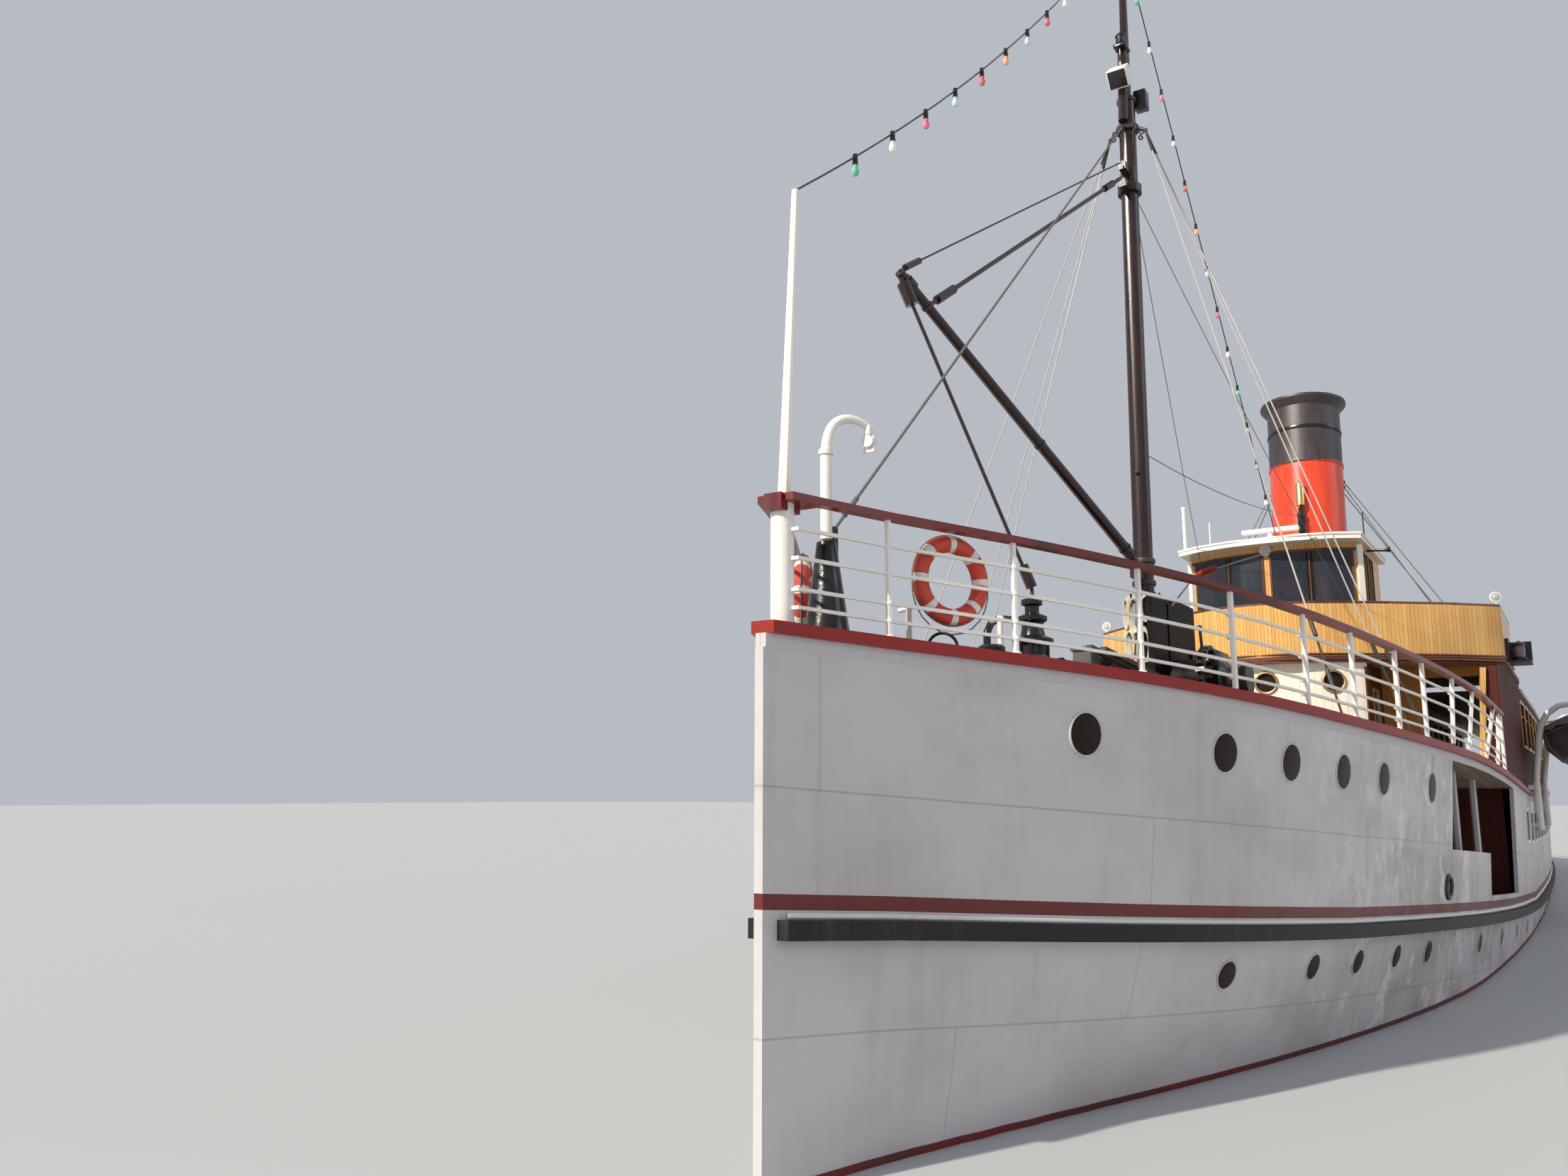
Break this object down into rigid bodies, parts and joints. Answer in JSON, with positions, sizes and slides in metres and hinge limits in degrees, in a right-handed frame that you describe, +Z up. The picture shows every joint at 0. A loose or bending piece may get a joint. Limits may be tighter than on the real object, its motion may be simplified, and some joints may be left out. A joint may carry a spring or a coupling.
{
  "type": "twin-screw lake steamer, 1:2 scale model",
  "caption": "Half-size twin-screw lake passenger steamer: plumb stem, white hull, tall raked funnel, bowed varnished bridge, black mast with derrick boom.",
  "frame": {"origin": "on the waterline, on the centreline, midway between stem and stern", "axes": "+X towards the bow, +Y to port, +Z up"},
  "size_m": [25.645, 5.68, 8.8029],
  "materials": {
    "hull_white": "gloss white shell paint, weathered",
    "white_paint": "gloss white enamel",
    "black_paint": "semi-gloss black",
    "mast_black": "gloss brown-black spar paint",
    "red_brown": "red-brown painted timber",
    "dark_panel": "dark brown varnished panelling",
    "varnish": "clear varnished tongue and groove boards",
    "deck_wood": "scrubbed planks",
    "funnel_red": "gloss orange-red with black top",
    "brass": "polished, slightly tarnished",
    "bronze": "cast propeller bronze",
    "grey_steel": "plain machinery grey",
    "grey_paint": "matt grey",
    "wire": "tarred wire rope",
    "boat_paint": "dull grey-brown",
    "buoy_orange": "orange-red canvas over cork, with white bands",
    "boot_red": "matt antifouling red"
  },
  "bodies": {
    "ship": {"hull": "hull_white", "rubbing_strake": "black_paint", "promenade_deck": "deck_wood", "deck_edge_cap": "red_brown", "fore_rails": "white_paint", "fore_handrail": "red_brown", "aft_rails": "white_paint", "fore_bulkhead": "dark_panel", "aft_bulkhead": "dark_panel", "stern_bulwark": "hull_white", "boiler_block": "grey_steel", "engine_block": "grey_steel", "bridge_house": "white_paint", "bridge_deck": "deck_wood", "bridge_bulwark": "varnish", "wheelhouse_walls": "varnish", "wheelhouse_roof": "white_paint", "funnel_casing": "white_paint", "funnel": "funnel_red", "steam_whistle": "brass", "promenade_roof": "red_brown", "saloon_house": "white_paint", "foremast": "mast_black", "foremast_stays": "wire", "jackstaff": "white_paint", "davit_stand": "black_paint", "capstan_base": "black_paint", "cargo_winch": "black_paint", "fore_hatch": "grey_paint", "swan_neck_vent": "black_paint", "ensign_staff": "white_paint", "lifebuoy": "buoy_orange", "main_side_wall_port": "hull_white", "side_screen_port": "dark_panel", "lifeboat_port": "boat_paint", "boat_davit_fore_port": "white_paint", "boat_davit_aft_port": "white_paint", "sidelight_box_port": "dark_panel", "shaft_line_port": "boot_red", "main_side_wall_starboard": "hull_white", "side_screen_starboard": "dark_panel", "lifeboat_starboard": "boat_paint", "boat_davit_fore_starboard": "white_paint", "boat_davit_aft_starboard": "white_paint", "sidelight_box_starboard": "dark_panel", "shaft_line_starboard": "boot_red"},
    "boom": {"derrick_boom": "mast_black"},
    "davit": {"anchor_davit": "white_paint"},
    "capstan": {"capstan_drum": "black_paint"},
    "rudder": {"rudder": "boot_red"},
    "propeller_port": {"propeller_port": "bronze"},
    "house_door_port": {"house_door_port": "varnish"},
    "wheelhouse_door_port": {"wheelhouse_door_port": "varnish"},
    "propeller_starboard": {"propeller_starboard": "bronze"},
    "house_door_starboard": {"house_door_starboard": "varnish"},
    "wheelhouse_door_starboard": {"wheelhouse_door_starboard": "varnish"}
  },
  "joints": [
    {"name": "boom_slew", "type": "hinge", "parent": "ship", "child": "boom", "pos_m": [8.43673, 0, 2.82], "axis": [-0.0436, 0, 0.999], "range_deg": [-44, 8]},
    {"name": "davit_swivel", "type": "hinge", "parent": "ship", "child": "davit", "pos_m": [12.3425, 0, 2.4], "axis": [0, 0, 1], "range_deg": [-50, 60]},
    {"name": "capstan_turn", "type": "hinge", "parent": "ship", "child": "capstan", "pos_m": [10.26, 0, 2], "axis": [0, 0, 1], "continuous": true},
    {"name": "rudder_turn", "type": "hinge", "parent": "ship", "child": "rudder", "pos_m": [-10.825, 0, -0.5], "axis": [0, 0, 1], "range_deg": [-35, 35]},
    {"name": "propeller_spin_port", "type": "hinge", "parent": "ship", "child": "propeller_port", "pos_m": [-9.875, 0.575, -0.61], "axis": [1, 0, 0], "continuous": true},
    {"name": "house_door_hinge_port", "type": "hinge", "parent": "ship", "child": "house_door_port", "pos_m": [2.593, 0.81, 2], "axis": [0, 0, 1], "range_deg": [-95, 0]},
    {"name": "wheelhouse_door_hinge_port", "type": "hinge", "parent": "ship", "child": "wheelhouse_door_port", "pos_m": [3.318, 0.775, 3], "axis": [0, 0, 1], "range_deg": [-95, 0]},
    {"name": "propeller_spin_starboard", "type": "hinge", "parent": "ship", "child": "propeller_starboard", "pos_m": [-9.875, -0.575, -0.61], "axis": [1, 0, 0], "continuous": true},
    {"name": "house_door_hinge_starboard", "type": "hinge", "parent": "ship", "child": "house_door_starboard", "pos_m": [2.593, -0.81, 2], "axis": [0, 0, 1], "range_deg": [0, 95]},
    {"name": "wheelhouse_door_hinge_starboard", "type": "hinge", "parent": "ship", "child": "wheelhouse_door_starboard", "pos_m": [3.318, -0.775, 3], "axis": [0, 0, 1], "range_deg": [0, 95]}
  ]
}
